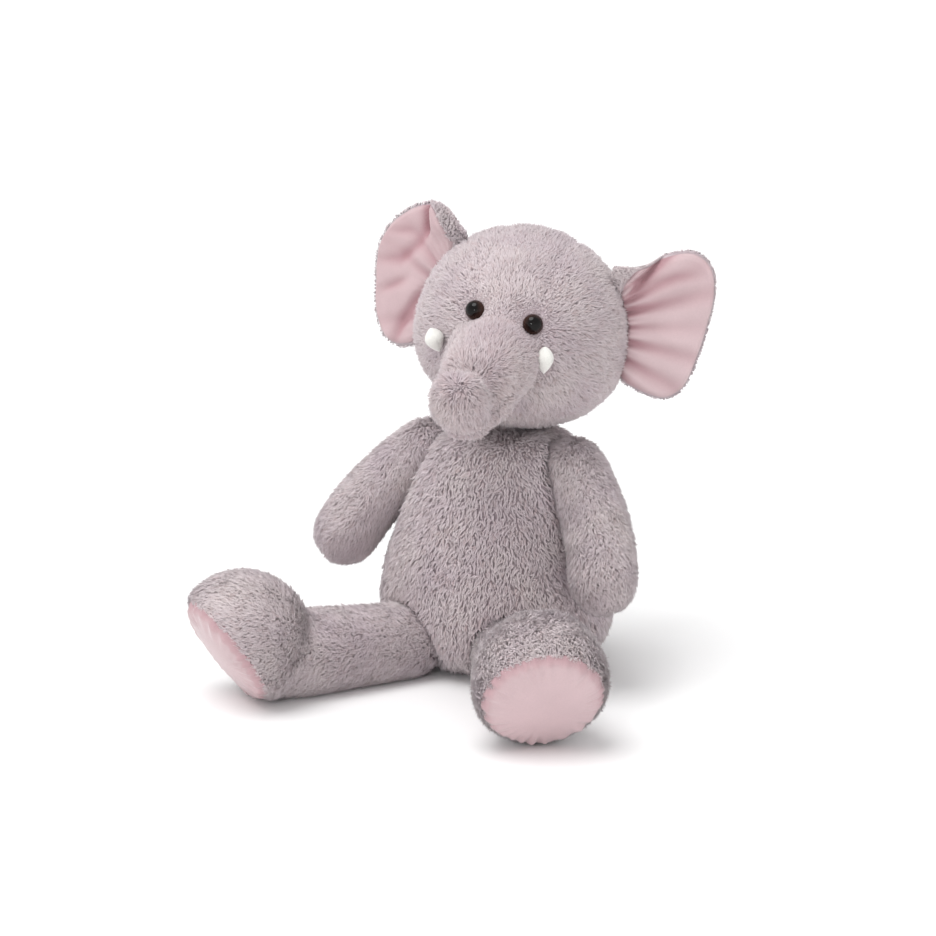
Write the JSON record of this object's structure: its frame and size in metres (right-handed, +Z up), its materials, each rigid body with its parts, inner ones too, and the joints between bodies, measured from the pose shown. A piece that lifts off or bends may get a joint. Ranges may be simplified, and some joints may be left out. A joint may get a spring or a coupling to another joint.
{
  "type": "stuffed elephant",
  "caption": "Seated plush elephant with long pile fur, satin-lined ears and foot soles, felt tusks, a curled trunk and soft jointed head, ears, arms, legs and tail.",
  "frame": {"origin": "middle of the flat seat panel, on the floor plane", "axes": "+Z up out of the seat, -Y the way the elephant faces, +X the elephant's own left side"},
  "size_m": [0.41, 0.3889, 0.4406],
  "materials": {
    "fur": "matte",
    "pink_satin": "satin",
    "felt": "matte",
    "filling": "matte",
    "pellet_bag": "matte",
    "eye": "gloss",
    "washer": "satin"
  },
  "bodies": {
    "torso": {"torso_left_panel": "fur", "torso_right_panel": "fur", "torso_seat_panel": "fur", "torso_filling": "filling", "seat_pellet_bag": "pellet_bag"},
    "neck": {"neck_filling": "filling"},
    "head": {"head_left_panel": "fur", "head_right_panel": "fur", "head_gusset": "fur", "head_filling": "filling", "eye_left": "eye", "eye_right": "eye", "eye_washer_left": "washer", "eye_washer_right": "washer", "tusk_left": "felt", "tusk_right": "felt", "trunk_top_panel": "fur", "trunk_under_panel": "fur", "trunk_filling": "filling"},
    "trunk_tip": {"trunk_tip_panel": "fur", "trunk_tip_disc": "fur", "trunk_tip_filling": "filling"},
    "ear_left": {"ear_left_back": "fur", "ear_left_lining": "pink_satin"},
    "ear_right": {"ear_right_back": "fur", "ear_right_lining": "pink_satin"},
    "arm_left": {"arm_left_outer_panel": "fur", "arm_left_inner_panel": "fur", "arm_left_filling": "filling"},
    "arm_right": {"arm_right_outer_panel": "fur", "arm_right_inner_panel": "fur", "arm_right_filling": "filling"},
    "leg_left": {"leg_left_outer_panel": "fur", "leg_left_inner_panel": "fur", "leg_left_sole": "pink_satin", "leg_left_filling": "filling"},
    "leg_right": {"leg_right_outer_panel": "fur", "leg_right_inner_panel": "fur", "leg_right_sole": "pink_satin", "leg_right_filling": "filling"},
    "tail": {"tail": "fur", "tail_tuft": "fur"}
  },
  "joints": [
    {"name": "neck_turn", "type": "hinge", "parent": "torso", "child": "neck", "pos_m": [0.013, -0.007, 0.246], "axis": [0, 0, 1], "range_deg": [-45, 25], "stiffness_Nm_per_rad": 0.6},
    {"name": "head_nod", "type": "hinge", "parent": "neck", "child": "head", "pos_m": [0.013, -0.007, 0.246], "axis": [0.9667, 0.1705, -0.1908], "range_deg": [-12, 12], "stiffness_Nm_per_rad": 3},
    {"name": "trunk_curl", "type": "hinge", "parent": "head", "child": "trunk_tip", "pos_m": [0.04523, -0.15465, 0.27741], "axis": [0.9667, 0.1705, -0.1908], "range_deg": [-8, 45], "stiffness_Nm_per_rad": 0.05},
    {"name": "ear_left_flap", "type": "hinge", "parent": "head", "child": "ear_left", "pos_m": [0.12264, 0.01843, 0.31584], "axis": [0.1879, 0.0331, 0.9816], "range_deg": [-30, 25], "stiffness_Nm_per_rad": 0.03},
    {"name": "ear_right_flap", "type": "hinge", "parent": "head", "child": "ear_right", "pos_m": [-0.06603, -0.01484, 0.34697], "axis": [-0.1879, -0.0331, -0.9816], "range_deg": [-30, 25], "stiffness_Nm_per_rad": 0.03},
    {"name": "arm_left_swing", "type": "hinge", "parent": "torso", "child": "arm_left", "pos_m": [0.08566, -0.0112, 0.2], "axis": [-1, 0, 0], "range_deg": [-25, 60], "stiffness_Nm_per_rad": 0.3},
    {"name": "arm_right_swing", "type": "hinge", "parent": "torso", "child": "arm_right", "pos_m": [-0.06575, -0.01152, 0.206], "axis": [-1, 0, 0], "range_deg": [-25, 60], "stiffness_Nm_per_rad": 0.3},
    {"name": "leg_left_swing", "type": "hinge", "parent": "torso", "child": "leg_left", "pos_m": [0.054, -0.08, 0.033], "axis": [-0.829, -0.5592, 0], "range_deg": [-20, 20], "stiffness_Nm_per_rad": 0.6},
    {"name": "leg_right_swing", "type": "hinge", "parent": "torso", "child": "leg_right", "pos_m": [-0.054, -0.08, 0.033], "axis": [-0.829, 0.5592, 0], "range_deg": [-20, 20], "stiffness_Nm_per_rad": 0.6},
    {"name": "tail_swing", "type": "hinge", "parent": "torso", "child": "tail", "pos_m": [0, 0.108, 0.084], "axis": [1, 0, 0], "range_deg": [0, 50], "stiffness_Nm_per_rad": 0.005}
  ]
}
